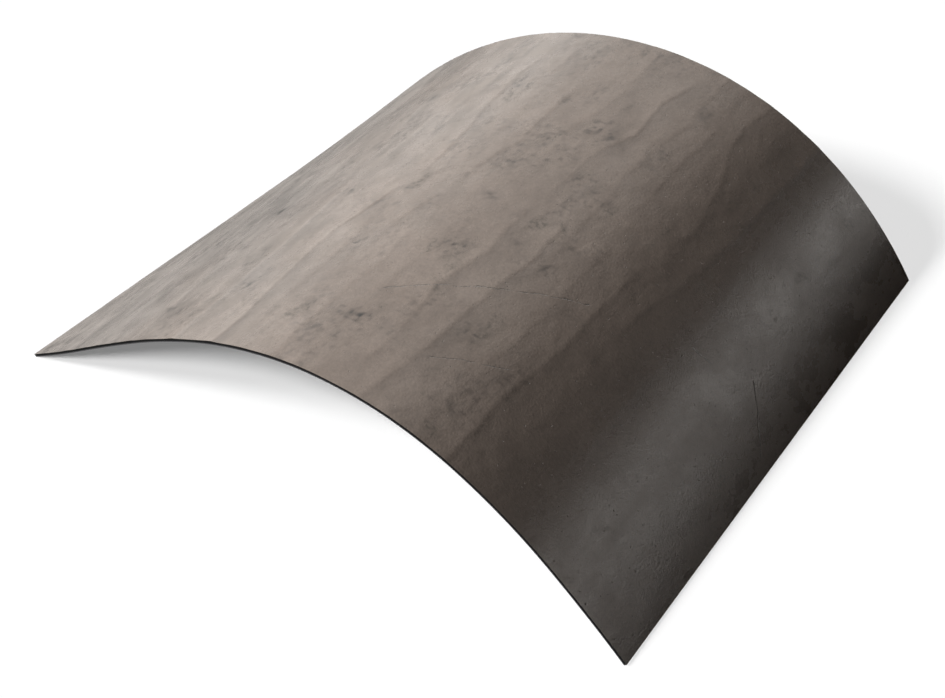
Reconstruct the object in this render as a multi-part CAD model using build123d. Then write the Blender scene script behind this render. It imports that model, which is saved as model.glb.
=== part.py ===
from build123d import *
import os
from math import atan2, ceil, cos, radians, sin, tan

# A flexible solar laminate that stands as a low arch on its two straight edges, in mm.
# X runs across the arch, Y along the sheet's straight lines, from front to rear, and Z up.
# The origin is on the floor, under the middle of the sheet.
# The sheet bends everywhere, so it is made as strips that hinge on straight lines of its top face.

sheet_width = 600.0  # along the bend
sheet_length = 412.0  # along the straight lines
front_slopes = [26, 29.5, 27.5, 21, 9, -8, -28.5, -43.5, -49.5]  # degrees, at the strips' edges
rear_slopes = [46, 39, 29.5, 18, 4, -11.5, -29.5, -46.5, -60.5]
rear_shift = 8.0  # the rear arc starts this much further along X

strip_count = len(front_slopes) - 1
strip_width = sheet_width / strip_count
tightest_radius = 150.0  # what the cells stand
hinge_gap = 0.3  # between strips at the top face
longest_span = 52.0  # of one face along Y
groove_angle = 26.0  # the groove that lets two strips bend towards each other

# The layers, from the top face down, with a bond line between neighbours.
film_thickness = 0.5
encapsulant_thickness = 0.46
cell_thickness = 0.3
back_sheet_thickness = 0.7
bond_line = 0.02

edge_margin = 12.0  # from the sheet's edge to the cells
cell_to_hinge = 3.5
middle_margin = 6.0  # from the sheet's middle line to the cells on either side
ribbon_width = 3.0
ribbon_thickness = 0.2
ribbons_per_cell = 3
bus_distance = 8.0  # from the sheet's straight edge to the middle of the bus
return_offset = 3.0  # from the sheet's middle line to each ribbon that leads back to the box

box_strip = 7
box_width = 56.0
box_length = 84.0
box_height = 12.0
box_wall = 2.0
box_corner = 4.0
box_standoff = 3.0  # from the laminate to the box, at the box's middle
gasket_thickness = 1.0
lid_thickness = 2.2
boss_radius = 3.6
screw_radius = 1.2
screw_clearance = 0.05
screw_length = 9.0
head_radius = 2.8
head_height = 1.6
inlet_radius = 3.0  # for a 6 mm lead
inlet_boss_radius = 5.2
inlet_boss_length = 12.0
spigot_radius = 4.2
inlet_spacing = 26.0
terminal_width = 10.0
terminal_length = 12.0
terminal_height = 7.0
terminal_spacing = 26.0
terminal_row = 10.0  # from the box's middle towards the lead inlets
diode_radius = 2.7
diode_length = 9.0
diode_wire_radius = 0.6
slot_width = 8.0
slot_height = 1.6
tail_width = 5.0
tail_thickness = 0.25

film_top = 0.0
front_encapsulant_top = film_top + film_thickness + bond_line
cell_top = front_encapsulant_top + encapsulant_thickness + bond_line
rear_encapsulant_top = cell_top + cell_thickness + bond_line
back_sheet_top = rear_encapsulant_top + encapsulant_thickness + bond_line
thickness = back_sheet_top + back_sheet_thickness
ribbon_top = cell_top + (cell_thickness - ribbon_thickness) / 2
groove_lean = tan(radians(groove_angle / 2))


def inward(slope):
    return sin(slope), -cos(slope)


def arc_chain(slopes, start_x):
    # One arc per strip, end to end, turned until both lower edges of the laminate stand on the floor.
    def chain(turn):
        knots = [(0.0, 0.0, radians(slopes[0]) + turn)]
        for slope in slopes[1:]:
            x, z, before = knots[-1]
            after = radians(slope) + turn
            bend = (after - before) / strip_width
            knots.append((x + (sin(after) - sin(before)) / bend, z - (cos(after) - cos(before)) / bend, after))
        return knots

    def foot(knot):
        x, z, slope = knot
        dx, dz = inward(slope)
        return x + thickness * dx, z + thickness * dz

    first, last = (foot(knot) for knot in (chain(0)[0], chain(0)[-1]))
    level = chain(-atan2(last[1] - first[1], last[0] - first[0]))
    lift = -foot(level[0])[1]
    return [(x + start_x, z + lift, slope) for x, z, slope in level]


front_arc = arc_chain(front_slopes, 0.0)
rear_arc = arc_chain(rear_slopes, rear_shift)
middle_x = front_arc[-1][0] / 2


def arc_point(chain, distance, depth):
    # distance runs along the top face from the left edge, and depth goes down into the laminate.
    k = min(int(distance / strip_width), strip_count - 1)
    x, z, before = chain[k]
    bend = (chain[k + 1][2] - before) / strip_width
    slope = before + bend * (distance - k * strip_width)
    dx, dz = inward(slope)
    x += (sin(slope) - sin(before)) / bend + depth * dx
    z -= (cos(slope) - cos(before)) / bend - depth * dz
    return x, z


def sheet_point(distance, depth, y):
    # A straight line joins the front arc to the rear arc at each distance.
    share = y / sheet_length
    (x0, z0), (x1, z1) = (arc_point(chain, distance, depth) for chain in (front_arc, rear_arc))
    return Vector(x0 + share * (x1 - x0) - middle_x, y - sheet_length / 2, z0 + share * (z1 - z0))


def section(start, end, top, bottom, y, lean):
    lean_start, lean_end = lean
    middle = (start + end) / 2

    def arc(depth):
        ends = start + lean_start * depth, end - lean_end * depth
        return [sheet_point(distance, depth, y) for distance in (ends[0], middle, ends[1])]

    upper, lower = arc(top), arc(bottom)
    edges = [
        ThreePointArc(*upper),
        Line(upper[2], lower[2]),
        ThreePointArc(lower[2], lower[1], lower[0]),
        Line(lower[0], upper[0]),
    ]
    return make_face(edges)


def sheet_piece(start, end, top, layer_thickness, low=0.0, high=sheet_length, lean=(0.0, 0.0)):
    # The faces twist, so they are divided along Y to keep them close to flat.
    spans = ceil((high - low) / longest_span)
    rows = [low + (high - low) * n / spans for n in range(spans + 1)]
    return loft([section(start, end, top, top + layer_thickness, y, lean) for y in rows], ruled=True)


def strip_layer(k, top, layer_thickness):
    # Strip k, counted from 1. Its sides lean back from the hinge lines to make the grooves.
    start, end = (k - 1) * strip_width, k * strip_width
    lean_start, lean_end = groove_lean, groove_lean
    if k == 1:
        lean_start = 0.0
    else:
        start += hinge_gap / 2
    if k == strip_count:
        lean_end = 0.0
    else:
        end -= hinge_gap / 2
    return sheet_piece(start, end, top, layer_thickness, lean=(lean_start, lean_end))


def cell_rows():
    middle = sheet_length / 2
    return (edge_margin, middle - middle_margin), (middle + middle_margin, sheet_length - edge_margin)


def cells(k):
    # One cell in the front half and one in the rear half.
    start = edge_margin if k == 1 else (k - 1) * strip_width + cell_to_hinge
    end = sheet_width - edge_margin if k == strip_count else k * strip_width - cell_to_hinge
    return [sheet_piece(start, end, cell_top, cell_thickness, *row) for row in cell_rows()]


def ribbon(start, end, y):
    half = ribbon_width / 2
    return sheet_piece(start, end, ribbon_top, ribbon_thickness, y - half, y + half)


def return_rows():
    middle = sheet_length / 2
    return middle - return_offset, middle + return_offset


def links(k):
    # The ribbons that cross hinge k, from cell to cell, and at the box's strip the two return ribbons.
    hinge = k * strip_width
    rows = []
    for low, high in cell_rows():
        rows += [low + (high - low) * (n + 0.5) / ribbons_per_cell for n in range(ribbons_per_cell)]
    if k == box_strip:
        rows += return_rows()
    return [ribbon(hinge - cell_to_hinge, hinge + cell_to_hinge, y) for y in rows]


def jumper_bus():
    # Joins the front row of cells to the rear row along the left straight edge.
    (front_low, _), (_, rear_high) = cell_rows()
    half = ribbon_width / 2
    start, end = bus_distance - half, bus_distance + half
    return [sheet_piece(start, end, ribbon_top, ribbon_thickness, front_low, rear_high)]


def pole_bus(front):
    # Collects one row of cells along the right straight edge and leads back along the middle.
    (front_low, _), (_, rear_high) = cell_rows()
    front_return, rear_return = return_rows()
    half = ribbon_width / 2
    start, end = sheet_width - bus_distance - half, sheet_width - bus_distance + half
    low, high = (front_low, front_return + half) if front else (rear_return - half, rear_high)
    along = sheet_piece(start, end, ribbon_top, ribbon_thickness, low, high)
    back = ribbon(box_strip * strip_width + cell_to_hinge, start, front_return if front else rear_return)
    return [along, back]


# The box is under strip 7, on its middle line. Its own frame has x down the slope, y towards the
# front and z away from the laminate, with z = 0 on its floor, which faces the laminate.
box_distance = (box_strip - 0.5) * strip_width
box_slope = sum(chain[k][2] for chain in (front_arc, rear_arc) for k in (box_strip - 1, box_strip)) / 4
box_normal = Vector(sin(box_slope), 0, -cos(box_slope))
box_plane = Plane(
    origin=sheet_point(box_distance, thickness, sheet_length / 2) + box_normal * box_standoff,
    x_dir=Vector(cos(box_slope), 0, sin(box_slope)),
    z_dir=box_normal,
)
rim = box_height
lid_bottom = rim + gasket_thickness


def placed(shape):
    return box_plane.location * shape


def upright(radius, bottom, top, x=0.0, y=0.0):
    return Pos(x, y, bottom) * Cylinder(radius, top - bottom, align=(Align.CENTER, Align.CENTER, Align.MIN))


def block(width, length, bottom, top, x=0.0, y=0.0):
    return Pos(x, y, bottom) * Box(width, length, top - bottom, align=(Align.CENTER, Align.CENTER, Align.MIN))


def rounded_block(width, length, corner, bottom, top):
    return Pos(0, 0, bottom) * extrude(RectangleRounded(width, length, corner), top - bottom)


def screw_places():
    x, y = box_width / 2 - boss_radius - 0.6, box_length / 2 - boss_radius - 0.6
    return [(sx * x, sy * y) for sx in (-1, 1) for sy in (-1, 1)]


def ribbon_slots():
    # Where the two tails pass through the laminate, the pad and the box's floor.
    sides = (-1, 1)
    below = box_standoff + thickness
    return [block(slot_width, slot_height, -below, box_wall + 1, 0, side * return_offset) for side in sides]


def box_base():
    inside = box_width - 2 * box_wall, box_length - 2 * box_wall
    base = rounded_block(box_width, box_length, box_corner, 0, rim)
    base -= rounded_block(*inside, box_corner - box_wall, box_wall, rim)
    for x, y in screw_places():
        base += upright(boss_radius, box_wall / 2, lid_bottom, x, y)
        base -= upright(screw_radius + screw_clearance, lid_bottom - screw_length, lid_bottom, x, y)
    for inlet in inlet_places():
        base -= inlet * Cylinder(spigot_radius + screw_clearance, 2 * box_wall)
    for slot in ribbon_slots():
        base -= slot
    return base


def inlet_places():
    # In the wall that faces the rear, with z out along the lead.
    return [Pos(side * inlet_spacing / 2, -box_length / 2, rim / 2) * Rot(90, 0, 0) for side in (-1, 1)]


def lead_inlets():
    # Two bushes, each with a spigot through the wall.
    start = (Align.CENTER, Align.CENTER, Align.MIN)
    bushes = []
    for inlet in inlet_places():
        bush = Cylinder(inlet_boss_radius, inlet_boss_length, align=start)
        bush = chamfer(bush.faces().sort_by(Axis.Z)[-1].edges(), inlet_boss_radius / 8)
        bush += Pos(0, 0, -box_wall) * Cylinder(spigot_radius, box_wall, align=start)
        bush -= Pos(0, 0, -box_wall) * Cylinder(inlet_radius, box_wall + inlet_boss_length, align=start)
        bushes.append(inlet * bush)
    return bushes


def adhesive_pad():
    # Fills the wedge between the box's flat floor and the hollow underside of the laminate.
    margin = 2.0
    pad = block(box_width - 2 * margin, box_length - 2 * margin, -2 * box_standoff, 0)
    start, end = (box_strip - 1) * strip_width, box_strip * strip_width
    laminate = sheet_piece(start, end, -2 * box_standoff, thickness + bond_line + 2 * box_standoff)
    pad = pad - box_plane.location.inverse() * laminate
    for slot in ribbon_slots():
        pad -= slot
    return max(pad.solids(), key=lambda solid: solid.volume)


def lid_gasket():
    inside = box_width - 2 * box_wall, box_length - 2 * box_wall
    ring = rounded_block(box_width, box_length, box_corner, rim, lid_bottom)
    ring -= rounded_block(*inside, box_corner - box_wall, rim, lid_bottom)
    for x, y in screw_places():
        ring -= upright(boss_radius + bond_line, rim, lid_bottom, x, y)
    return ring


def box_lid():
    lid = rounded_block(box_width, box_length, box_corner, lid_bottom, lid_bottom + lid_thickness)
    lid = chamfer(lid.faces().sort_by(Axis.Z)[-1].edges(), lid_thickness / 3)
    for x, y in screw_places():
        lid -= upright(screw_radius + 4 * screw_clearance, lid_bottom, lid_bottom + lid_thickness, x, y)
    return lid


def lid_screws():
    top = lid_bottom + lid_thickness
    screws = []
    for x, y in screw_places():
        head = upright(head_radius, top, top + head_height, x, y)
        head -= block(2 * head_radius, head_height / 2, top + head_height / 2, top + head_height, x, y)
        screws.append(head + upright(screw_radius, lid_bottom + 1 - screw_length, top, x, y))
    return screws


def terminals():
    blocks = []
    top = box_wall + terminal_height
    for side in (-1, 1):
        x = side * terminal_spacing / 2
        body = block(terminal_width, terminal_length, box_wall, top, x, -terminal_row)
        blocks.append(body - upright(screw_radius, top - terminal_height / 2, top, x, -terminal_row))
    return blocks


def bypass_diode():
    reach = terminal_spacing - terminal_width
    across = Pos(0, -terminal_row, box_wall + terminal_height / 2) * Rot(0, 90, 0)
    return across * (Cylinder(diode_radius, diode_length) + Cylinder(diode_wire_radius, reach))


def lead_ribbons():
    # Two flat runs in the laminate, and a tail from each up into the box.
    runs = [
        ribbon(box_distance + tail_width / 2, box_strip * strip_width - cell_to_hinge, y) for y in return_rows()
    ]
    top = box_wall + terminal_height / 2
    low = -box_standoff - (thickness - rear_encapsulant_top)
    tails = [block(tail_width, tail_thickness, low, top, 0, side * return_offset) for side in (-1, 1)]
    return runs + [placed(tail) for tail in tails]


def make_nodes():
    nodes = {}
    for k in range(1, strip_count + 1):
        nodes[f"front_film_{k}"] = strip_layer(k, film_top, film_thickness)
        nodes[f"front_encapsulant_{k}"] = strip_layer(k, front_encapsulant_top, encapsulant_thickness)
        nodes[f"cells_{k}"] = cells(k)
        nodes[f"rear_encapsulant_{k}"] = strip_layer(k, rear_encapsulant_top, encapsulant_thickness)
        nodes[f"back_sheet_{k}"] = strip_layer(k, back_sheet_top, back_sheet_thickness)
        if k < strip_count:
            nodes[f"link_ribbons_{k}"] = links(k)
    for layer in ("rear_encapsulant", "back_sheet"):
        for slot in ribbon_slots():
            nodes[f"{layer}_{box_strip}"] -= placed(slot)
    nodes["jumper_bus"] = jumper_bus()
    nodes["front_row_bus"] = pole_bus(True)
    nodes["rear_row_bus"] = pole_bus(False)
    nodes["lead_ribbons"] = lead_ribbons()
    nodes["box_adhesive_pad"] = placed(adhesive_pad())
    nodes["junction_box_base"] = placed(box_base())
    nodes["lead_inlets"] = [placed(bush) for bush in lead_inlets()]
    nodes["junction_box_gasket"] = placed(lid_gasket())
    nodes["junction_box_lid"] = placed(box_lid())
    nodes["lid_screws"] = [placed(screw) for screw in lid_screws()]
    nodes["terminals"] = [placed(terminal) for terminal in terminals()]
    nodes["bypass_diode"] = placed(bypass_diode())
    return nodes


os.makedirs("parts", exist_ok=True)
for name, shape in make_nodes().items():
    if isinstance(shape, list):
        shape = Compound(children=shape)
    export_step(shape, f"parts/{name}.step")
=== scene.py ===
from math import atan2, cos, radians, sin

import bpy
import numpy as np
from mathutils import Matrix, Vector


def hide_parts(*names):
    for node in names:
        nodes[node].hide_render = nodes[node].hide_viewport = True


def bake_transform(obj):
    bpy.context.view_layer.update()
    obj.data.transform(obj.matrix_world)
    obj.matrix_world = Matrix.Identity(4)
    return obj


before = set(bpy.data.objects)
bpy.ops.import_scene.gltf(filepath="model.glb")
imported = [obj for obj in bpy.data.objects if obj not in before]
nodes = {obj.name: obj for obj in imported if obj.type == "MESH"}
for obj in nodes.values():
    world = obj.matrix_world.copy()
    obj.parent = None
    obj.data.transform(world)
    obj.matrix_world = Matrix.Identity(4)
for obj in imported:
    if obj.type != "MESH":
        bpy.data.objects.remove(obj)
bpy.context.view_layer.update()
scene = bpy.context.scene
mm = 0.001
print("frame loaded,", len(nodes), "nodes")

# The laminate, in mm, as designed.
laminate = {
    "width": 600.0,  # along the bend
    "length": 412.0,  # along the straight lines
    "strips": 8,
    "frontSlopes": [26, 29.5, 27.5, 21, 9, -8, -28.5, -43.5, -49.5],  # degrees, at the strips' edges
    "rearSlopes": [46, 39, 29.5, 18, 4, -11.5, -29.5, -46.5, -60.5],
    "rearShift": 8.0,
    "thickness": 2.5,
    "film": (0.0, 0.5),  # depths under the top face
    "frontEncapsulant": (0.52, 0.98),
    "cell": (1.0, 1.3),
    "ribbon": (1.05, 1.25),
    "rearEncapsulant": (1.32, 1.78),
    "backSheet": (1.8, 2.5),
    "edgeMargin": 12.0,
    "cellToHinge": 3.5,
    "middleMargin": 6.0,
    "ribbonWidth": 3.0,
    "ribbonsPerCell": 3,
    "busDistance": 8.0,
    "returnOffset": 3.0,
}
boxZone = {"strip": 7, "start": 459.0, "end": 516.0, "slot": (8.0, 1.6)}  # the stretch over the junction box, and the size of the tail slots
mesh = {"fineS": 1.25, "fineRows": 256, "coarse": 5, "coarseRows": 16}  # fine steps to one coarse step

width, length = laminate["width"], laminate["length"]
stripWidth = width / laminate["strips"]
middleY = length / 2


def arcChain(slopes, startX):
    # One arc per strip, turned until both lower edges stand on the floor.
    def chain(turn):
        knots = [(0.0, 0.0, radians(slopes[0]) + turn)]
        for slope in slopes[1:]:
            x, z, before = knots[-1]
            after = radians(slope) + turn
            bend = (after - before) / stripWidth
            x, z = x + (sin(after) - sin(before)) / bend, z - (cos(after) - cos(before)) / bend
            knots.append((x, z, after))
        return knots

    def foot(knot):
        x, z, slope = knot
        return x + laminate["thickness"] * sin(slope), z - laminate["thickness"] * cos(slope)

    first, last = foot(chain(0)[0]), foot(chain(0)[-1])
    level = chain(-atan2(last[1] - first[1], last[0] - first[0]))
    lift = -foot(level[0])[1]
    return np.array([(x + startX, z + lift, slope) for x, z, slope in level])


frontArc = arcChain(laminate["frontSlopes"], 0.0)
rearArc = arcChain(laminate["rearSlopes"], laminate["rearShift"])
middleX = frontArc[-1][0] / 2


def arcPoints(chain, s, depth):
    k = np.clip((s / stripWidth).astype(int), 0, laminate["strips"] - 1)
    x, z, before = chain[k, 0], chain[k, 1], chain[k, 2]
    bend = (chain[k + 1, 2] - before) / stripWidth
    slope = before + bend * (s - k * stripWidth)
    x = x + (np.sin(slope) - np.sin(before)) / bend + depth * np.sin(slope)
    z = z - (np.cos(slope) - np.cos(before)) / bend - depth * np.cos(slope)
    return x, z


def sheetPoints(s, y, depth):
    # s runs along the top face from the left edge, y from front to rear; mm in, metres out
    s, y, depth = np.broadcast_arrays(np.asarray(s, float), np.asarray(y, float), np.asarray(depth, float))
    share = y / length
    (x0, z0), (x1, z1) = (arcPoints(chain, s, depth) for chain in (frontArc, rearArc))
    places = (x0 + share * (x1 - x0) - middleX, y - middleY, z0 + share * (z1 - z0))
    return np.stack(places, axis=-1) * mm


def sheetPoint(s, y=middleY, depth=0.0):
    return Vector(sheetPoints(s, y, depth))


# Smooth random fields, the same on each run.


def waver(s, y, sizeS, sizeY, seed):
    # Values from -1 to 1 that change over about sizeS along the bend and sizeY along the straight lines.
    rng = np.random.default_rng(seed)
    lattice = rng.uniform(-1, 1, (int(width / sizeS) + 4, int(length / sizeY) + 4))
    offset = rng.uniform(0, 1, 2)
    u, v = s / sizeS + offset[0], y / sizeY + offset[1]
    i, j = np.floor(u).astype(int), np.floor(v).astype(int)
    fu, fv = u - i, v - j
    fu, fv = fu * fu * (3 - 2 * fu), fv * fv * (3 - 2 * fv)
    low = lattice[i, j] * (1 - fu) + lattice[i + 1, j] * fu
    high = lattice[i, j + 1] * (1 - fu) + lattice[i + 1, j + 1] * fu
    return low * (1 - fv) + high * fv


def roughField(s, y, sizeS, sizeY, seed, octaves=3):
    total, weight = 0.0, 1.0
    for n in range(octaves):
        total = total + weight * waver(s, y, sizeS / 2**n, sizeY / 2**n, seed + n)
        weight *= 0.5
    return total / 1.75


# The cleft lines of the embossed face. Each runs roughly along the straight lines:
# its way through (s, y), in mm, and how strong it is.
cleft = {
    "reach": 17.0,  # the slow rise before a lip
    "drop": 2.8,  # the quick fall after it
    "height": 0.46,
    "wander": 2.2,
    "fade": 26.0,  # how slowly a line starts and ends
    "shade": 14.0,  # the dark side's width
    "wanderLength": 26.0,
    "tremble": (0.5, 3.5),  # the small sideways wander, and over what length
    "swellLength": 45.0,  # how soon its strength changes along it
    "firstSeed": 300,
    "rightHeight": 0.55,  # how high the lips are at the right, as a share
    "leftHeight": 0.5,  # how much higher they are at the left
    # how much stronger the clefts' painted light and shade is at the left
    "leftPaintedShading": 1.1,
}
cleftLines = [
    ([(205, -5), (206, 62), (207.5, 100), (203, 163), (199, 200)], 1.0),
    ([(249, -5), (250, 37), (244, 75), (242.5, 125), (250, 162), (254, 190)], 1.1),
    ([(262, 200), (261, 215), (259, 262), (250, 300), (248, 345), (252, 380)], 0.7),
    ([(304, -5), (303, 40), (306, 112), (299, 150)], 0.4),
    ([(294, 195), (299, 225), (310, 262), (306, 300), (309, 350)], 0.5),
    ([(360, 20), (361, 56), (359, 87), (355, 106), (362, 150), (360, 205)], 0.8),
    ([(325, 80), (326, 110), (331, 148), (339, 172)], 0.45),
    ([(363, 210), (362, 255), (364, 280), (376, 310), (372, 350), (380, 400)], 0.9),
    ([(376, -5), (384, 62), (386, 131), (391, 165), (388, 195), (380, 225)], 1.1),
    ([(398, 160), (396, 225), (392, 290), (397, 330), (395, 417)], 0.5),
    ([(441, -5), (441, 60), (447, 125), (445, 165), (446, 215)], 0.9),
    ([(452, 215), (451, 243), (455, 268), (449, 294), (445, 318), (436, 343), (429, 375), (434, 417)], 0.8),
    ([(464, 150), (467, 180), (473, 214), (475, 250), (480, 293), (478, 345), (481, 417)], 0.9),
    ([(412, 225), (416, 262), (414, 300), (417, 350), (411, 417)], 0.45),
    ([(418, -5), (416, 50), (423, 95), (420, 140)], 0.3),
    ([(266, 20), (265, 60), (269, 112), (263, 150)], 0.35),
    ([(285, 130), (289, 165), (296, 190)], 0.45),
    ([(152, -5), (149, 60), (154, 120), (147, 180), (151, 240)], 0.45),
    ([(176, 200), (181, 250), (174, 300), (180, 370), (176, 417)], 0.45),
    ([(205, 215), (209, 260), (206, 320), (212, 417)], 0.5),
    ([(228, 230), (231, 290), (227, 350), (232, 417)], 0.4),
    ([(104, -5), (109, 70), (103, 140), (108, 200)], 0.35),
    ([(118, 190), (122, 260), (115, 330), (120, 417)], 0.35),
    ([(58, -5), (62, 90), (55, 190), (60, 280)], 0.3),
    ([(337, 235), (334, 290), (341, 340), (338, 417)], 0.4),
    ([(501, 40), (497, 120), (503, 190), (498, 300)], 0.3),
    ([(543, 250), (541, 320), (546, 400)], 0.3),
]


faintClefts = {
    "count": 34,
    "first": 30.0,
    "last": 480.0,
    "strength": (0.12, 0.34),
    "reach": (60.0, 210.0),
    "start": 60.0,  # from this far outside the front edge to this far inside the rear edge
    "lean": 5.0,
}


def allClefts():
    # The named lines, then faint shorter ones between them.
    rng = np.random.default_rng(5)
    lines = list(cleftLines)
    for n in range(faintClefts["count"]):
        share = (n + rng.uniform(0.1, 0.9)) / faintClefts["count"]
        s = faintClefts["first"] + share * (faintClefts["last"] - faintClefts["first"])
        start = rng.uniform(-faintClefts["start"], length - faintClefts["start"])
        end = start + rng.uniform(*faintClefts["reach"])
        way = [(s, start), (s + rng.uniform(-faintClefts["lean"], faintClefts["lean"]), end)]
        lines.append((way, rng.uniform(*faintClefts["strength"])))
    return lines


def nearLeft(s):
    # 1 at the left edge, 0 from the crown on: the face is rougher towards the left, and the clefts' painted
    #                                          light and shade is stronger there.
    return np.clip((290 - s) / 220, 0, 1)


def cleftRelief(s, y):
    # Returns the height of the lips, in mm, and a tone of painted light and shade: lighter before a lip,
    # painted shade after it.
    height, tone = np.zeros_like(s), np.zeros_like(s)
    for n, (way, strength) in enumerate(allClefts()):
        ways, alongs = zip(*way)
        centre = np.interp(y, alongs, ways)
        seed = cleft["firstSeed"] + 7 * n
        trembleReach, trembleLength = cleft["tremble"]
        centre = centre + cleft["wander"] * roughField(0 * s, y, 40, cleft["wanderLength"], seed)
        centre = centre + trembleReach * waver(0 * s, y, 40, trembleLength, seed + 5)
        low = 1.0 if alongs[0] < 0 else np.clip((y - alongs[0]) / cleft["fade"], 0, 1)
        high = 1.0 if alongs[-1] > length else np.clip((alongs[-1] - y) / cleft["fade"], 0, 1)
        uneven = 0.8 + 0.35 * waver(0 * s, y, 40, cleft["swellLength"], seed + 6)
        fade = low * high * uneven * strength
        t = s - centre
        rise = np.clip(1 + t / cleft["reach"], 0, 1) ** 1.6
        fall = 1 / (1 + np.exp(np.clip(4 * t / cleft["drop"], -60, 60)))
        height += cleft["height"] * fade * rise * fall
        # Painted light on the rise before a lip, painted shade after it.
        after = np.clip(1 - t / cleft["shade"], 0, 1) ** 1.3 * (1 - fall)
        tone += fade * (rise**1.5 * fall - 0.85 * after)
    lower = 1 - (1 - cleft["rightHeight"]) * np.clip((s - 330) / 100, 0, 1)
    height = height * lower * (1 + cleft["leftHeight"] * nearLeft(s))
    return height, tone * (1 + cleft["leftPaintedShading"] * nearLeft(s))


relief = {  # height in mm, size along s and y, seed, octaves
    "swell": (0.2, 46, 75, 11, 3),
    "hollows": (0.15, 13, 19, 21, 3),
    "grit": (0.05, 4.2, 5.0, 31, 2),
    "lowest": -0.3,
    "highest": 0.55,
}
stains = {
    "clouds": (0.5, 34, 50, 61, 4),  # strength, size along s and y, seed, octaves
    "streaks": (0.55, 7, 15, 71, 3),
    "smudges": 1.2,
    "dots": 2.6,
    "placed": 0.3,
    "patchField": (1.7, 0.1, 26, 30, 91, 2),  # gain, lift, then as above
    "spotField": (1.8, 0.25, 5.5, 6.5, 81, 2),
    "dotField": (2.2, -0.2, 2.6, 2.6, 87, 1),
    "leftBoost": 1.9,
    "middleBoost": 0.35,
}
paleCorner = {"place": (50, 30), "reach": (110, 120), "tone": 1.1}
dimRear = {"place": (280, 430), "reach": (110, 110), "tone": -0.7}
darkPlaces = [  # (s, y), reach across and along, and strength
    ((344, 144), (9, 11), 1.6),
    ((330, 55), (17, 7), 1.6),
    ((144, 158), (6, 14), 1.3),
    ((101, 197), (7, 12), 1.4),
    ((113, 228), (12, 6), 1.2),
    ((169, 319), (9, 6), 1.2),
    ((400, 159), (8, 8), 1.4),
    ((396, 84), (8, 8), 1.3),
    ((272, 119), (7, 10), 1.2),
    ((295, 172), (7, 9), 1.1),
    ((262, 330), (10, 7), 1.2),
    ((208, 178), (10, 5), 1.3),
    ((315, 238), (14, 12), 0.9),
    ((358, 295), (13, 13), 0.9),
    ((264, 185), (9, 5), 1.1),
    ((328, 198), (9, 6), 1.0),
    ((392, 232), (10, 12), 0.8),
    ((155, 35), (8, 9), 1.0),
    ((410, 195), (11, 9), -1.0),
]


def scaledField(s, y, strength, *field):
    return strength * roughField(s, y, *field)


def clippedField(s, y, gain, lift, *field):
    return np.clip(gain * roughField(s, y, *field) + lift, 0, 1)


def broadTone(s, y, area):
    (s0, y0), (across, along) = area["place"], area["reach"]
    return area["tone"] * np.exp(-(((s - s0) / across) ** 2) - ((y - y0) / along) ** 2)


def placedMarks(s, y):
    bend = 0.35 * roughField(s, y, 12, 12, 95)
    marks = np.zeros_like(s)
    for (s0, y0), (across, along), strength in darkPlaces:
        marks += strength * np.exp(-(((s - s0) / across + bend) ** 2) - ((y - y0) / along + bend) ** 2)
    return marks


def filmRelief(s, y):
    # The clefts' painted light and shade starts the tone; the stains below add to it.
    height, tone = cleftRelief(s, y)
    even = 1 - 0.7 * np.clip((s - 465) / 45, 0, 1)  # the lower right is flatter
    for name in ("swell", "hollows", "grit"):
        height += even * scaledField(s, y, *relief[name])
    boost = 1 + stains["leftBoost"] * nearLeft(s)
    for name in ("clouds", "streaks"):
        tone += boost * scaledField(s, y, *stains[name])
    patches = clippedField(s, y, *stains["patchField"])
    spots = clippedField(s, y, *stains["spotField"])
    dots = clippedField(s, y, *stains["dotField"])
    placed = placedMarks(s, y)
    rightFade = np.clip((500 - s) / 60, 0.25, 1)
    tone -= (0.6 + 0.4 * boost) * stains["smudges"] * (patches * 0.8 + placed) * spots * rightFade
    tone -= stains["dots"] * (0.1 + 0.75 * patches + np.abs(placed)) * dots * rightFade
    tone -= stains["placed"] * placed
    tone *= 1 + stains["middleBoost"] * np.clip((430 - s) / 60, 0, 1)
    tone += broadTone(s, y, paleCorner) + broadTone(s, y, dimRear)
    return np.clip(height, relief["lowest"], relief["highest"]), tone


# Helpers that add nodes to a tree.


def addNode(tree, kind, label="", **settings):
    node = tree.nodes.new(kind)
    node.label = label
    for key, value in settings.items():
        setattr(node, key, value)
    return node


def feed(tree, source, target):
    # source is a socket or a plain value
    if isinstance(source, bpy.types.NodeSocket):
        tree.links.new(source, target)
    else:
        target.default_value = source


def mathNode(tree, operation, *parts, clamp=False):
    node = addNode(tree, "ShaderNodeMath", operation=operation, use_clamp=clamp)
    for socket, part in zip(node.inputs, parts):
        feed(tree, part, socket)
    return node.outputs[0]


def rangeNode(tree, value, fromMin, fromMax, toMin=0.0, toMax=1.0):
    node = addNode(tree, "ShaderNodeMapRange", interpolation_type="SMOOTHSTEP")
    names = ("Value", "From Min", "From Max", "To Min", "To Max")
    for name, part in zip(names, (value, fromMin, fromMax, toMin, toMax)):
        feed(tree, part, node.inputs[name])
    return node.outputs["Result"]


def mixColours(tree, factor, first, second):
    node = addNode(tree, "ShaderNodeMix", data_type="RGBA")
    feed(tree, factor, node.inputs[0])
    feed(tree, first, node.inputs[6])
    feed(tree, second, node.inputs[7])
    return node.outputs[2]


def scaledVector(tree, vector, scale):
    node = addNode(tree, "ShaderNodeVectorMath", operation="MULTIPLY")
    feed(tree, vector, node.inputs[0])
    feed(tree, scale, node.inputs[1])
    return node.outputs[0]


def noiseNode(tree, vector, scale, detail=3.0, roughness=0.55, distortion=0.0):
    node = addNode(tree, "ShaderNodeTexNoise")
    feed(tree, vector, node.inputs["Vector"])
    names = ("Scale", "Detail", "Roughness", "Distortion")
    for name, value in zip(names, (scale, detail, roughness, distortion)):
        feed(tree, value, node.inputs[name])
    return node.outputs["Fac"]


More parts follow.
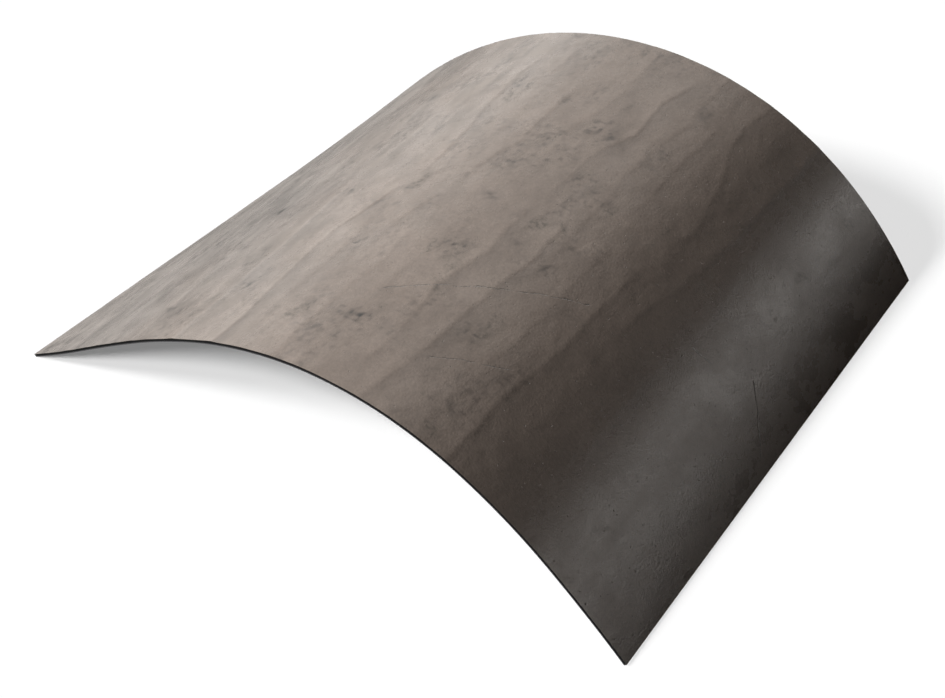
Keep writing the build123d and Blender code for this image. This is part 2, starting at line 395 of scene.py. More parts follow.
def newGroup(name, inputs, outputs):
    group = bpy.data.node_groups.new(name, "ShaderNodeTree")
    for socketName, kind, value in inputs:
        socket = group.interface.new_socket(name=socketName, in_out="INPUT", socket_type="NodeSocket" + kind)
        if value is not None:
            socket.default_value = value
    for socketName, kind in outputs:
        group.interface.new_socket(name=socketName, in_out="OUTPUT", socket_type="NodeSocket" + kind)
    return group, addNode(group, "NodeGroupInput"), addNode(group, "NodeGroupOutput")


def useGroup(tree, group, **values):
    node = addNode(tree, "ShaderNodeGroup", label=group.name)
    node.node_tree = group
    for name, value in values.items():
        feed(tree, value, node.inputs[name])
    return node


# Effects that several materials share.


def makeMottle():
    # Soft cloudy patches in two sizes, as a value about 0.5
    group, start, end = newGroup(
        "mottle",
        [
            ("Vector", "Vector", None),
            ("Scale", "Float", 30.0),
            ("Contrast", "Float", 1.0),
            ("Stretch", "Vector", (1, 1, 1)),
        ],
        [("Value", "Float"), ("Patches", "Float")],
    )
    place = scaledVector(group, start.outputs["Vector"], start.outputs["Stretch"])
    broad = noiseNode(group, place, start.outputs["Scale"], 5.0, 0.6, 0.35)
    finer = mathNode(group, "MULTIPLY", start.outputs["Scale"], 4.3)
    small = noiseNode(group, place, finer, 4.0, 0.65, 0.2)
    both = mathNode(group, "MULTIPLY_ADD", broad, 0.65, mathNode(group, "MULTIPLY", small, 0.35))
    centred = mathNode(group, "SUBTRACT", both, 0.5)
    strong = mathNode(group, "MULTIPLY", centred, start.outputs["Contrast"])
    feed(group, mathNode(group, "ADD", strong, 0.5, clamp=True), end.inputs["Value"])
    feed(group, rangeNode(group, broad, 0.57, 0.72), end.inputs["Patches"])
    return group


def makeGrain():
    # Fine moulded or embossed texture: a height for a bump, and a mask of tiny pits
    group, start, end = newGroup(
        "fineGrain",
        [
            ("Vector", "Vector", None),
            ("Scale", "Float", 900.0),
            ("Pit Scale", "Float", 260.0),
            ("Pit Size", "Float", 0.16),
        ],
        [("Height", "Float"), ("Pits", "Float")],
    )
    grain = noiseNode(group, start.outputs["Vector"], start.outputs["Scale"], 3.0, 0.6)
    cells = addNode(group, "ShaderNodeTexVoronoi", feature="F1")
    feed(group, start.outputs["Vector"], cells.inputs["Vector"])
    feed(group, start.outputs["Pit Scale"], cells.inputs["Scale"])
    near = rangeNode(group, cells.outputs["Distance"], 0.0, start.outputs["Pit Size"], 1.0, 0.0)
    picked = addNode(group, "ShaderNodeSeparateColor")
    feed(group, cells.outputs["Color"], picked.inputs[0])
    some = rangeNode(group, picked.outputs[0], 0.62, 0.7)
    pits = mathNode(group, "MULTIPLY", near, some)
    feed(group, mathNode(group, "MULTIPLY_ADD", pits, -0.8, grain), end.inputs["Height"])
    feed(group, pits, end.inputs["Pits"])
    return group


def makeHairline():
    # A crack or scratch from one place to another on a flat face, in mm, that wanders a little
    group, start, end = newGroup(
        "hairline",
        [
            ("Place", "Vector", None),
            ("Start", "Vector", (0, 0, 0)),
            ("Along", "Vector", (1, 0, 0)),
            ("Length", "Float", 50.0),
            ("Width", "Float", 0.4),
            ("Wander", "Float", 2.0),
        ],
        [("Mask", "Float")],
    )
    shift = addNode(group, "ShaderNodeVectorMath", operation="SUBTRACT")
    feed(group, start.outputs["Place"], shift.inputs[0])
    feed(group, start.outputs["Start"], shift.inputs[1])
    along = addNode(group, "ShaderNodeVectorMath", operation="DOT_PRODUCT")
    feed(group, shift.outputs[0], along.inputs[0])
    feed(group, start.outputs["Along"], along.inputs[1])
    turned = addNode(group, "ShaderNodeVectorRotate", rotation_type="Z_AXIS")
    feed(group, start.outputs["Along"], turned.inputs["Vector"])
    turned.inputs["Angle"].default_value = radians(90)
    across = addNode(group, "ShaderNodeVectorMath", operation="DOT_PRODUCT")
    feed(group, shift.outputs[0], across.inputs[0])
    feed(group, turned.outputs[0], across.inputs[1])
    far = along.outputs["Value"]
    wave = noiseNode(group, start.outputs["Place"], 0.07, 4.0, 0.6)
    offset = mathNode(group, "MULTIPLY", mathNode(group, "SUBTRACT", wave, 0.5), start.outputs["Wander"])
    moved = mathNode(group, "MULTIPLY_ADD", offset, 4.0, across.outputs["Value"])
    away = mathNode(group, "ABSOLUTE", moved)
    line = rangeNode(group, away, 0.0, start.outputs["Width"], 1.0, 0.0)
    begin = rangeNode(group, far, 0.0, 3.0)
    left = mathNode(group, "SUBTRACT", start.outputs["Length"], far)
    finish = rangeNode(group, left, 0.0, 3.0)
    broken = rangeNode(group, noiseNode(group, start.outputs["Place"], 0.16, 2.0), 0.34, 0.5)
    mask = line
    for part in (begin, finish, broken):
        mask = mathNode(group, "MULTIPLY", mask, part)
    feed(group, mask, end.inputs["Mask"])
    return group


mottle, fineGrain, hairline = makeMottle(), makeGrain(), makeHairline()


def newMaterial(name, slotName, **constants):
    # The constants go straight on the shader's own sockets.
    material = bpy.data.materials.new(name)
    material.use_nodes = True
    tree = material.node_tree
    shader = tree.nodes["Principled BSDF"]
    for key, value in constants.items():
        shader.inputs[key].default_value = value
    material["finish"] = slotName
    return material, tree, shader


def roughnessFrom(tree, clouds, roughness):
    # The cloudy patches are a little duller.
    return rangeNode(tree, clouds.outputs["Value"], 0.2, 0.8, roughness - 0.05, roughness + 0.07)


def bumpFrom(tree, shader, height, distance):
    bump = addNode(tree, "ShaderNodeBump")
    feed(tree, height, bump.inputs["Height"])
    bump.inputs["Distance"].default_value = distance
    tree.links.new(bump.outputs["Normal"], shader.inputs["Normal"])


# The finishes.
stone = {
    "light": (0.212, 0.170, 0.143, 1),
    "dark": (0.128, 0.101, 0.083, 1),
    "sheenGreyLight": (0.214, 0.190, 0.172, 1),
    "sheenGreyDark": (0.135, 0.121, 0.111, 1),
    "smudge": (0.060, 0.051, 0.041, 1),
    "pit": (0.045, 0.042, 0.038, 1),
    "roughness": 0.27,
    "cloudScale": 26.0,  # noise scales are per metre
    "patchScale": 44.0,
    "grainScale": 620.0,
    "fleckScale": 330.0,
    "speckleScale": 420.0,
    "speckle": 0.10,
    "sheenGreyTo": (200.0, 440.0),  # mm from the left edge, where the painted sheen's grey turns into warm
    "drift": (9.0, 260.0),  # how that place wanders: noise scale, and by how much in mm
    "smudgeStrength": (0.6, 0.22),  # with and without flecks
    "pitStrength": 0.55,
    "crackStrength": 0.75,
    "crackDepth": 1.5,
    "smudgeDullness": 0.16,
    "bump": 0.00014,
    "stainAndShadingStrength": 0.165,
}
cracks = [  # start (s, y), end (s, y), width, wander, all in mm
    ((325, 83), (362, 110), 0.55, 1.2),
    ((362, 108), (440, 158), 0.5, 1.6),
    ((387, 51), (433, 79), 0.45, 1.4),
    ((502, 190), (523, 195), 0.6, 0.8),
    ((550, 216), (592, 180), 0.5, 1.2),
]


def makeStoneFilm():
    material, tree, shader = newMaterial("stoneFilm", "textured_film")
    uv = addNode(tree, "ShaderNodeUVMap", uv_map="flat")
    place = scaledVector(tree, uv.outputs[0], (width, length, 1))  # mm on the flat sheet
    metres = scaledVector(tree, place, (mm, mm, mm))
    clouds = useGroup(
        tree, mottle, Vector=metres, Scale=stone["cloudScale"], Contrast=1.7, Stretch=(1.25, 0.8, 1)
    )
    patches = useGroup(
        tree, mottle, Vector=metres, Scale=stone["patchScale"], Contrast=2.2, Stretch=(1.0, 0.75, 1)
    )
    grain = useGroup(tree, fineGrain, Vector=metres, Scale=stone["grainScale"])
    warm = mixColours(tree, clouds.outputs["Value"], stone["light"], stone["dark"])
    # Painted sheen: the greyer colours on the left stand in for the satin sheen there.
    grey = mixColours(tree, clouds.outputs["Value"], stone["sheenGreyLight"], stone["sheenGreyDark"])
    across = addNode(tree, "ShaderNodeSeparateXYZ")
    feed(tree, place, across.inputs[0])
    driftScale, driftReach = stone["drift"]
    drift = mathNode(
        tree, "MULTIPLY_ADD", noiseNode(tree, metres, driftScale), driftReach, across.outputs["X"]
    )
    colour = mixColours(tree, rangeNode(tree, drift, *stone["sheenGreyTo"]), grey, warm)
    flecks = rangeNode(tree, noiseNode(tree, metres, stone["fleckScale"], 3.0, 0.65), 0.44, 0.62)
    flecked = mathNode(tree, "MULTIPLY_ADD", flecks, *stone["smudgeStrength"])
    smudges = mathNode(tree, "MULTIPLY", patches.outputs["Patches"], flecked)
    colour = mixColours(tree, smudges, colour, stone["smudge"])
    # The tone attribute lightens and darkens the colour: stains, and the clefts' painted light and shade.
    tone = addNode(tree, "ShaderNodeAttribute", attribute_name="tone")
    factor = mathNode(tree, "MULTIPLY_ADD", tone.outputs["Fac"], stone["stainAndShadingStrength"], 1.0)
    toned = addNode(tree, "ShaderNodeVectorMath", operation="SCALE")
    feed(tree, colour, toned.inputs[0])
    feed(tree, factor, toned.inputs["Scale"])
    fineNoise = noiseNode(tree, metres, stone["speckleScale"], 3.0, 0.7)
    speckle = rangeNode(tree, fineNoise, 0.3, 0.7, 1 - stone["speckle"], 1 + stone["speckle"])
    speckled = addNode(tree, "ShaderNodeVectorMath", operation="SCALE")
    feed(tree, toned.outputs[0], speckled.inputs[0])
    feed(tree, speckle, speckled.inputs["Scale"])
    marks = mathNode(tree, "MULTIPLY", grain.outputs["Pits"], stone["pitStrength"])
    for (s0, y0), (s1, y1), crackWidth, wander in cracks:
        way = Vector((s1 - s0, y1 - y0, 0))
        crack = useGroup(
            tree, hairline, Place=place, Start=(s0, y0, 0), Along=way.normalized(),
            Length=way.length, Width=crackWidth, Wander=wander,
        )
        dark = mathNode(tree, "MULTIPLY", crack.outputs["Mask"], stone["crackStrength"])
        marks = mathNode(tree, "MAXIMUM", marks, dark)
    colour = mixColours(tree, marks, speckled.outputs[0], stone["pit"])
    feed(tree, colour, shader.inputs["Base Color"])
    gloss = roughnessFrom(tree, clouds, stone["roughness"])
    dulled = mathNode(tree, "MULTIPLY_ADD", smudges, stone["smudgeDullness"], gloss)
    feed(tree, dulled, shader.inputs["Roughness"])
    height = mathNode(tree, "MULTIPLY_ADD", marks, -stone["crackDepth"], grain.outputs["Height"])
    bumpFrom(tree, shader, height, stone["bump"])
    return material


def makeDark(name, slotName, colour, roughness, grainScale=900.0, depth=0.00003, **constants):
    # Dark moulded or cut plastic and rubber: faint clouds, grain, and lighter scuffs
    material, tree, shader = newMaterial(name, slotName, **constants)
    where = addNode(tree, "ShaderNodeTexCoord")
    clouds = useGroup(tree, mottle, Vector=where.outputs["Object"], Scale=45.0, Contrast=1.6)
    grain = useGroup(tree, fineGrain, Vector=where.outputs["Object"], Scale=grainScale)
    lighter = [min(1, c * 1.35 + 0.004) for c in colour]
    mixed = mixColours(tree, clouds.outputs["Value"], (*colour, 1), (*lighter, 1))
    feed(tree, mixed, shader.inputs["Base Color"])
    feed(tree, roughnessFrom(tree, clouds, roughness), shader.inputs["Roughness"])
    bumpFrom(tree, shader, grain.outputs["Height"], depth)
    return material


def makeMetal(name, slotName, colour, roughness, brushed=(900, 60, 900)):
    material, tree, shader = newMaterial(name, slotName, Metallic=1.0)
    where = addNode(tree, "ShaderNodeTexCoord")
    strokes = noiseNode(tree, scaledVector(tree, where.outputs["Object"], brushed), 1.0, 4.0, 0.6)
    clouds = useGroup(tree, mottle, Vector=where.outputs["Object"], Scale=90.0, Contrast=1.5)
    dull = [c * 0.72 for c in colour]
    mixed = mixColours(tree, clouds.outputs["Value"], (*colour, 1), (*dull, 1))
    feed(tree, mixed, shader.inputs["Base Color"])
    gloss = rangeNode(tree, strokes, 0.3, 0.7, roughness - 0.08, roughness + 0.1)
    feed(tree, gloss, shader.inputs["Roughness"])
    bumpFrom(tree, shader, strokes, 0.00001)
    return material


stoneFilm = makeStoneFilm()
matt = {"Specular IOR Level": 0.08}
filmEdge = makeDark("filmEdge", "textured_film", (0.006, 0.0055, 0.005), 0.6, **matt)
coreBlack = makeDark("coreBlack", "black_encapsulant", (0.004, 0.004, 0.0045), 0.6, **matt)
backSheetFace = makeDark("backSheetFace", "back_sheet", (0.045, 0.045, 0.047), 0.6, 500.0, 0.00005)
cellFace = makeDark("cellFace", "solar_cell", (0.012, 0.014, 0.03), 0.22, 300.0, 0.00001)
tinnedStrip = makeMetal("tinnedStrip", "tinned_ribbon", (0.72, 0.72, 0.70), 0.36)
padFoam = makeDark("padFoam", "adhesive", (0.03, 0.03, 0.03), 0.75, 400.0, 0.00008)
boxPlastic = makeDark("boxPlastic", "box_plastic", (0.034, 0.034, 0.036), 0.48, 1100.0, 0.00005)
gasketRubber = makeDark("gasketRubber", "gasket_rubber", (0.05, 0.05, 0.05), 0.7)
platedSteel = makeMetal("platedSteel", "screw_steel", (0.6, 0.6, 0.6), 0.3)
machinedBrass = makeMetal("machinedBrass", "terminal_brass", (0.75, 0.6, 0.3), 0.28)
diodeCase = makeDark("diodeCase", "diode_body", (0.025, 0.025, 0.025), 0.4)
print("materials made")

# Building the meshes.


def makePiece(name, places, faces, materials, faceMaterials=None):
    data = bpy.data.meshes.new(name)
    data.from_pydata([tuple(p) for p in places], [], faces)
    for material in materials:
        data.materials.append(material)
    if faceMaterials is not None:
        data.polygons.foreach_set("material_index", faceMaterials)
    piece = bpy.data.objects.new(name, data)
    scene.collection.objects.link(piece)
    return piece


def slabShell(sEdges, yEdges, depths, holes=()):
    # Closed slab between two depths over a grid of (s, y) lines; cells that lie in a hole are left out.
    sEdges, yEdges = np.array(sEdges), np.array(yEdges)
    columns, rows = len(sEdges), len(yEdges)
    grid = np.meshgrid(sEdges, yEdges, indexing="ij")
    places = np.concatenate([sheetPoints(*grid, depth).reshape(-1, 3) for depth in depths])
    below = columns * rows

    def kept(i, j):
        if not (0 <= i < columns - 1 and 0 <= j < rows - 1):
            return False
        s, y = (sEdges[i] + sEdges[i + 1]) / 2, (yEdges[j] + yEdges[j + 1]) / 2
        return not any(s0 < s < s1 and y0 < y < y1 for s0, s1, y0, y1 in holes)

    def at(i, j):
        return i * rows + j

    faces = []
    for i in range(columns - 1):
        for j in range(rows - 1):
            if not kept(i, j):
                continue
            ring = at(i, j), at(i + 1, j), at(i + 1, j + 1), at(i, j + 1)
            faces.append(ring)
            faces.append(tuple(below + p for p in reversed(ring)))
            for a, b, side in ((0, 1, (0, -1)), (1, 2, (1, 0)), (2, 3, (0, 1)), (3, 0, (-1, 0))):
                if not kept(i + side[0], j + side[1]):
                    faces.append((ring[b], ring[a], below + ring[a], below + ring[b]))
    used = sorted({p for face in faces for p in face})
    renumber = {p: n for n, p in enumerate(used)}
    return places[used], [tuple(renumber[p] for p in face) for face in faces]


def joinShells(shells):
    places, faces, shift = [], [], 0
    for shellPlaces, shellFaces in shells:
        places.append(shellPlaces)
        faces += [tuple(p + shift for p in face) for face in shellFaces]
        shift += len(shellPlaces)
    return np.concatenate(places), faces


coarseS = mesh["fineS"] * mesh["coarse"]
fineY = length / mesh["fineRows"]
coarseY = fineY * mesh["coarseRows"]
spanCount = laminate["strips"] - 1


def spanEnds(k):
    # Span k crosses hinge k, from the middle of strip k to the middle of strip k + 1.
    start = 0.0 if k == 1 else (k - 0.5) * stripWidth
    end = width if k == spanCount else (k + 0.5) * stripWidth
    return start, end


def linesBetween(low, high, step, extra=()):
    inside = np.arange(np.ceil(low / step + 1e-6), np.floor(high / step - 1e-6) + 1) * step
    between = [e for e in extra if low < e < high]
    return np.unique(np.round(np.concatenate([[low, high], inside, between]), 4))


def bendPiece(piece, k):
    # Works out where joint k's piece would stay still, near the ends of its span and over the junction box,
    # then only bakes the piece's transform.
    start, end = spanEnds(k)
    stillStart = boxZone["end"] if k == boxZone["strip"] else max(start, (k - 0.5) * stripWidth)
    stillEnd = boxZone["start"] if k == boxZone["strip"] - 1 else min(end, (k + 0.5) * stripWidth)
    hinge = sheetPoint(k * stripWidth)
    ruling = sheetPoint(k * stripWidth, length) - sheetPoint(k * stripWidth, 0)
    across = sheetPoint(k * stripWidth + 1) - sheetPoint(k * stripWidth - 1)
    across = (across - ruling * across.dot(ruling) / ruling.length_squared).normalized()
    corners = [(y, depth) for y in (0, length) for depth in (0, laminate["thickness"])]
    before = max((sheetPoint(stillStart, *corner) - hinge).dot(across) for corner in corners)
    after = min((sheetPoint(stillEnd, *corner) - hinge).dot(across) for corner in corners)
    slack = 0.001
    start, end = hinge + across * (before + slack), hinge + across * (after - slack)
    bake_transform(piece)


def layerPiece(name, k, shells, material, replaced):
    places, faces = joinShells(shells)
    piece = makePiece(name, places, faces, [material])
    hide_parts(*replaced)
    bendPiece(piece, k)
    return piece


def standsFor(nodeName, k):
    # Span k stands for strip k's node, and the last span for the last strip's as well.
    return [f"{nodeName}_{k}"] + ([f"{nodeName}_{k + 1}"] if k == spanCount else [])


# The film: a fine top face with the relief, a coarse flat bottom, and side faces that join them.
fineSLines = np.arange(round(width / mesh["fineS"]) + 1) * mesh["fineS"]
fineYLines = np.arange(mesh["fineRows"] + 1) * fineY
gridS, gridY = np.meshgrid(fineSLines, fineYLines, indexing="ij")
# The tone holds the stains and the clefts' painted light and shade.
filmHeight, filmStainsAndShading = filmRelief(gridS, gridY)
filmTop = sheetPoints(gridS, gridY, -filmHeight)
alongS, alongY = np.gradient(filmTop, axis=0), np.gradient(filmTop, axis=1)
filmNormals = np.cross(alongS, alongY)
filmNormals /= np.linalg.norm(filmNormals, axis=2, keepdims=True)
print("relief made, from %.2f to %.2f mm" % (filmHeight.min(), filmHeight.max()))


def filmSpan(k):
    low, high = (round(end / mesh["fineS"]) for end in spanEnds(k))
    columns, rows = high - low + 1, mesh["fineRows"] + 1
    stepS, stepY = mesh["coarse"], mesh["coarseRows"]
    bottomS, bottomY = fineSLines[low : high + 1 : stepS], fineYLines[::stepY]
    bottomColumns, bottomRows = len(bottomS), len(bottomY)
    bottom = sheetPoints(*np.meshgrid(bottomS, bottomY, indexing="ij"), laminate["film"][1])
    places = np.concatenate([filmTop[low : high + 1].reshape(-1, 3), bottom.reshape(-1, 3)])
    shift = columns * rows
    i, j = (part.ravel() for part in np.meshgrid(np.arange(columns - 1), np.arange(rows - 1), indexing="ij"))
    top = np.stack([i * rows + j, (i + 1) * rows + j, (i + 1) * rows + j + 1, i * rows + j + 1], axis=1)
    faces = [tuple(face) for face in top.tolist()]
    topCount = len(faces)
    for a in range(bottomColumns - 1):
        for b in range(bottomRows - 1):
            corner = shift + a * bottomRows + b
            faces.append((corner, corner + 1, corner + bottomRows + 1, corner + bottomRows))
    for a in range(bottomColumns - 1):
        upper = [(a * stepS + n) * rows for n in range(stepS + 1)]
        lower = [shift + (a + 1) * bottomRows, shift + a * bottomRows]
        faces.append(tuple(upper[::-1] + lower[::-1]))
        upper = [p + rows - 1 for p in upper]
        lower = [p + bottomRows - 1 for p in lower]
        faces.append(tuple(upper + lower))
    for b in range(bottomRows - 1):
        upper = [b * stepY + n for n in range(stepY + 1)]
        lower = [shift + b + 1, shift + b]
        faces.append(tuple(upper + lower))
        upper = [p + (columns - 1) * rows for p in upper]
        lower = [p + (bottomColumns - 1) * bottomRows for p in lower]
        faces.append(tuple(upper[::-1] + lower[::-1]))
    slots = np.ones(len(faces), int)
    slots[:topCount] = 0
    piece = makePiece(f"stone_film_{k}", places, faces, [stoneFilm, filmEdge], slots)
    dressFilm(piece, low, high, topCount)
    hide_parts(*standsFor("front_film", k))
    bendPiece(piece, k)


def dressFilm(piece, low, high, topCount):
    # Flat coordinates, the tone (stains, and the clefts' painted light and shade), and normals that run on
    # over the seams.
    data = piece.data
    stepS, stepY = mesh["coarse"], mesh["coarseRows"]
    flatS, flatY = (
        np.concatenate([grid[low : high + 1].ravel(), grid[low : high + 1 : stepS, ::stepY].ravel()])
        for grid in (gridS, gridY)
    )
    corners = np.empty(len(data.loops), np.int32)
    data.loops.foreach_get("vertex_index", corners)
    layer = data.uv_layers.new(name="flat")
    flat = np.stack([flatS[corners] / width, flatY[corners] / length], axis=1)
    layer.data.foreach_set("uv", flat.astype(np.float32).ravel())
    tone = data.attributes.new("tone", "FLOAT", "POINT")
    toneValues = np.zeros(len(data.vertices), np.float32)
    topTone = filmStainsAndShading[low : high + 1].ravel()
    toneValues[: len(topTone)] = topTone
    tone.data.foreach_set("value", toneValues)
    smooth = np.zeros(len(data.polygons), bool)
    smooth[:topCount] = True
    data.polygons.foreach_set("use_smooth", smooth)
    data.update()
    normals = np.zeros((len(data.loops), 3))
    topLoops = topCount * 4
    normals[:topLoops] = filmNormals[low : high + 1].reshape(-1, 3)[corners[:topLoops]]
    for polygon in data.polygons[topCount:]:
        normals[polygon.loop_start : polygon.loop_start + polygon.loop_total] = polygon.normal
    data.normals_split_custom_set(normals.tolist())


def cellRows():
    inner, margin = laminate["middleMargin"], laminate["edgeMargin"]
    return (margin, middleY - inner), (middleY + inner, length - margin)


def cellShells(k):
    # The right half of cell k and the left half of cell k + 1, in both rows.
    start, end = spanEnds(k)
    start = max(start, laminate["edgeMargin"])
    end = min(end, width - laminate["edgeMargin"])
    hinge, gap = k * stripWidth, laminate["cellToHinge"]
    shells = []
    for low, high in cellRows():
        yLines = linesBetween(low, high, coarseY)
        shells.append(slabShell(linesBetween(start, hinge - gap, coarseS), yLines, laminate["cell"]))
        shells.append(slabShell(linesBetween(hinge + gap, end, coarseS), yLines, laminate["cell"]))
    return shells


def ribbonShell(start, end, low, high):
    return slabShell(linesBetween(start, end, coarseS), linesBetween(low, high, coarseY), laminate["ribbon"])


def linkShells(k):
    hinge, gap, half = k * stripWidth, laminate["cellToHinge"], laminate["ribbonWidth"] / 2
    middles = []
    for low, high in cellRows():
        count = laminate["ribbonsPerCell"]
        middles += [low + (high - low) * (n + 0.5) / count for n in range(count)]
    if k == boxZone["strip"]:
        middles += [middleY - laminate["returnOffset"], middleY + laminate["returnOffset"]]
    return [ribbonShell(hinge - gap, hinge + gap, y - half, y + half) for y in middles]


def busShells(front):
    half, middle = laminate["ribbonWidth"] / 2, width - laminate["busDistance"]
    back = middleY + (-1 if front else 1) * laminate["returnOffset"]
    (frontLow, _), (_, rearHigh) = cellRows()
    low, high = (frontLow, back + half) if front else (back - half, rearHigh)
    hinge = boxZone["strip"] * stripWidth
    along = ribbonShell(middle - half, middle + half, low, high)
    return [along, ribbonShell(hinge + laminate["cellToHinge"], middle - half, back - half, back + half)]


def tailSlots():
    # Where the two ribbon tails go down through the laminate into the box.
    slotWidth, slotHeight = boxZone["slot"]
    middle = (boxZone["strip"] - 0.5) * stripWidth
    holes = []
    for side in (-1, 1):
        y = middleY + side * laminate["returnOffset"]
        holes.append((middle - slotWidth / 2, middle + slotWidth / 2, y - slotHeight / 2, y + slotHeight / 2))
    return holes


def sheetLayer(k, depths, holes=()):
    start, end = spanEnds(k)
    sLines = linesBetween(start, end, coarseS, [edge for hole in holes for edge in hole[:2]])
    yLines = linesBetween(0, length, coarseY, [edge for hole in holes for edge in hole[2:]])
    return [slabShell(sLines, yLines, depths, holes)]


for k in range(1, spanCount + 1):
    slots = tailSlots() if k in (boxZone["strip"] - 1, boxZone["strip"]) else ()
    filmSpan(k)
    layerPiece(
        f"front_encapsulant_span_{k}", k, sheetLayer(k, laminate["frontEncapsulant"]), coreBlack,
        standsFor("front_encapsulant", k),
    )
    layerPiece(f"cells_span_{k}", k, cellShells(k), cellFace, standsFor("cells", k))
    layerPiece(
        f"link_ribbons_span_{k}", k, linkShells(k), tinnedStrip,
        [f"link_ribbons_{k}"],
    )
    layerPiece(
        f"rear_encapsulant_span_{k}", k, sheetLayer(k, laminate["rearEncapsulant"], slots), coreBlack,
        standsFor("rear_encapsulant", k),
    )
    layerPiece(
        f"back_sheet_span_{k}", k, sheetLayer(k, laminate["backSheet"], slots), backSheetFace,
        standsFor("back_sheet", k),
    )
layerPiece("front_bus_ribbon", spanCount, busShells(True), tinnedStrip, ["front_row_bus"])
layerPiece("rear_bus_ribbon", spanCount, busShells(False), tinnedStrip, ["rear_row_bus"])
print("laminate made")

# The designed parts that are kept get their finishes.
finishes = {
    "jumper_bus": tinnedStrip,
    "lead_ribbons": tinnedStrip,
    "box_adhesive_pad": padFoam,
    "junction_box_base": boxPlastic,
    "lead_inlets": boxPlastic,
    "junction_box_gasket": gasketRubber,
    "junction_box_lid": boxPlastic,
    "lid_screws": platedSteel,
    "terminals": machinedBrass,
    "bypass_diode": diodeCase,
}
for name, material in finishes.items():
    data = nodes[name].data
    data.materials.clear()
    data.materials.append(material)
print("finishes set")

# Camera, lights and floor.
view = {
    "place": (0.56330, -0.64612, 0.69121),
    "azimuth": -41.381,  # from +Y towards -X
    "elevation": 39.884,
    "roll": 6.590,
    "lens": 56.0,
}
lights = {
    "keyTilt": 50.0,  # from straight up towards the left
    "keyFront": 30.0,  # then towards the front
    "keyStrength": 5.6,
    "keySize": 24.0,
    "ambient": 0.03,
    "panelColour": (1.0, 0.965, 0.925),  # a little warm
    "panels": {  # in degrees from straight up, left is negative
        "room": {"from": -190, "to": 76, "edges": (1, 4), "brightness": 0.15},
        "leftWall": {"from": -91, "to": 0, "edges": (5, 20), "brightness": 1.3},
        "leftLamp": {"from": -79, "to": -60, "edges": (12, 12), "brightness": 0.65},
        "leftLow": {"from": -190, "to": -91, "edges": (1, 4), "brightness": 0.2},
        "rightStrip": {"from": 56, "to": 71, "edges": (5, 7), "brightness": 2.9},
    },
    "floorSuns": [  # towards the light, strength, size in degrees
        ((0.42, -0.60, 0.74), 2.65, 9.0),
        ((-0.54, -0.60, 0.64), 1.9, 12.0),
    ],
    "floorGlow": 0.22,
    "floorColour": (0.8, 0.8, 0.8, 1),
}


def makeCamera():
    camera = bpy.data.objects.new("camera", bpy.data.cameras.new("camera"))
    scene.collection.objects.link(camera)
    azimuth, elevation, roll = (radians(view[key]) for key in ("azimuth", "elevation", "roll"))
    forward = Vector((sin(azimuth) * cos(elevation), cos(azimuth) * cos(elevation), -sin(elevation)))
    right = forward.cross(Vector((0, 0, 1))).normalized()
    down = forward.cross(right)
    turnedRight = right * cos(roll) + down * sin(roll)
    up = -(down * cos(roll) - right * sin(roll))
    turn = Matrix((turnedRight, up, -forward)).transposed()
    camera.matrix_world = Matrix.Translation(view["place"]) @ turn.to_4x4()
    camera.data.sensor_width = 36.0
    camera.data.lens = view["lens"]
    camera.data.clip_start, camera.data.clip_end = 0.01, 100.0
    scene.camera = camera


def aimLight(light, towards):
    # towards points from the object to the light
    light.rotation_mode = "QUATERNION"
    light.rotation_quaternion = Vector(towards).to_track_quat("Z", "Y")


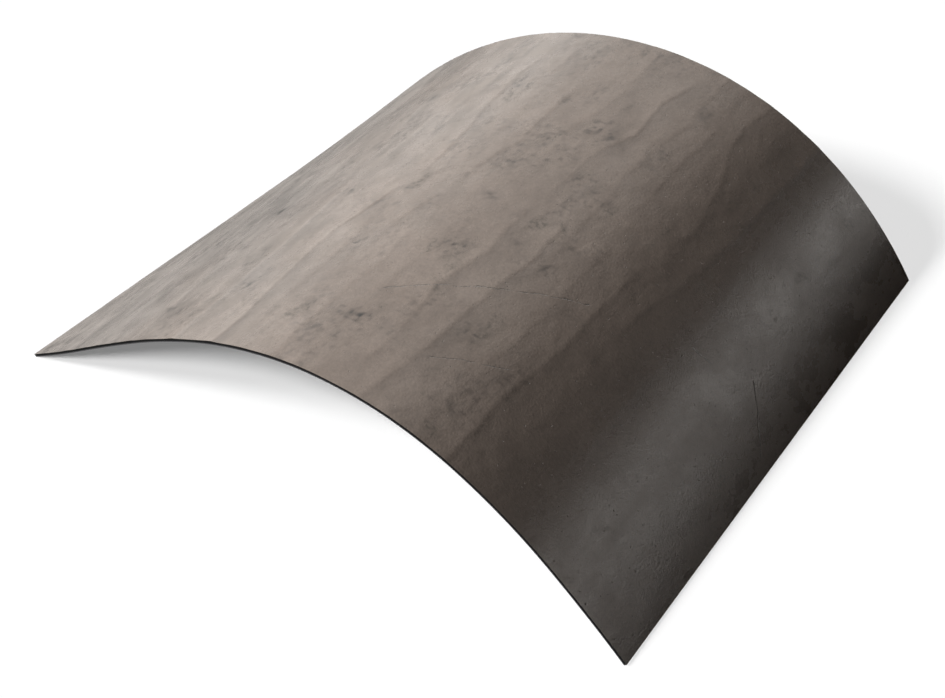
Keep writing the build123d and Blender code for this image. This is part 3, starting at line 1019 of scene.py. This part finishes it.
def makeLights(floor):
    tilt, front = radians(lights["keyTilt"]), radians(lights["keyFront"])
    key = bpy.data.objects.new("key", bpy.data.lights.new("key", "SUN"))
    key.data.energy = lights["keyStrength"] / cos(front)
    key.data.angle = radians(lights["keySize"])
    scene.collection.objects.link(key)
    aimLight(key, (-sin(tilt) * cos(front), -sin(front), cos(tilt) * cos(front)))
    # The floor has its own soft suns, so its shadow stays narrow.
    forFloor = bpy.data.collections.new("forFloor")
    forPieces = bpy.data.collections.new("forPieces")
    forFloor.objects.link(floor)
    forPieces.objects.link(floor)
    forPieces.collection_objects[0].light_linking.link_state = "EXCLUDE"
    key.light_linking.receiver_collection = forPieces
    for n, (towards, strength, size) in enumerate(lights["floorSuns"]):
        sun = bpy.data.objects.new(f"floorSun{n}", bpy.data.lights.new(f"floorSun{n}", "SUN"))
        sun.data.energy = strength
        sun.data.angle = radians(size)
        scene.collection.objects.link(sun)
        sun.light_linking.receiver_collection = forFloor
        aimLight(sun, towards)
    world = bpy.data.worlds.new("studio")
    world.use_nodes = True
    scene.world = world
    # Soft panels to the left and right, seen only in reflections: brightness by tilt across the arch.
    tree = world.node_tree
    direction = addNode(tree, "ShaderNodeSeparateXYZ")
    feed(tree, addNode(tree, "ShaderNodeTexCoord").outputs["Generated"], direction.inputs[0])
    tilt = mathNode(tree, "ARCTAN2", direction.outputs["X"], direction.outputs["Z"])
    glossy = 0.0
    for panel in lights["panels"].values():
        start, end = (radians(panel[key]) for key in ("from", "to"))
        startEdge, endEdge = (radians(edge) for edge in panel["edges"])
        rise = rangeNode(tree, tilt, start - startEdge, start + startEdge)
        fall = rangeNode(tree, tilt, end - endEdge, end + endEdge, panel["brightness"], 0.0)
        glossy = mathNode(tree, "ADD", glossy, mathNode(tree, "MULTIPLY", rise, fall))
    seen = addNode(tree, "ShaderNodeLightPath")
    ambient = mathNode(tree, "MULTIPLY", seen.outputs["Is Diffuse Ray"], lights["ambient"])
    shine = mathNode(tree, "MULTIPLY", seen.outputs["Is Glossy Ray"], glossy)
    strength = mathNode(tree, "ADD", mathNode(tree, "ADD", ambient, shine), seen.outputs["Is Camera Ray"])
    feed(tree, strength, tree.nodes["Background"].inputs["Strength"])
    tint = mixColours(tree, seen.outputs["Is Glossy Ray"], (1, 1, 1, 1), (*lights["panelColour"], 1))
    feed(tree, tint, tree.nodes["Background"].inputs["Color"])


def makeFloor():
    half = 40.0
    places = [(-half, -half, 0), (half, -half, 0), (half, half, 0), (-half, half, 0)]
    material, tree, shader = newMaterial("floorWhite", "", Roughness=0.9)
    shader.inputs["Base Color"].default_value = lights["floorColour"]
    shader.inputs["Specular IOR Level"].default_value = 0.0
    shader.inputs["Emission Color"].default_value = (1, 1, 1, 1)
    shader.inputs["Emission Strength"].default_value = lights["floorGlow"]
    floor = makePiece("floor", places, [(0, 1, 2, 3)], [material])
    floor.visible_diffuse = False
    floor.visible_glossy = False
    return floor


makeCamera()
makeLights(makeFloor())
scene.view_settings.view_transform = "Standard"
print("studio made")
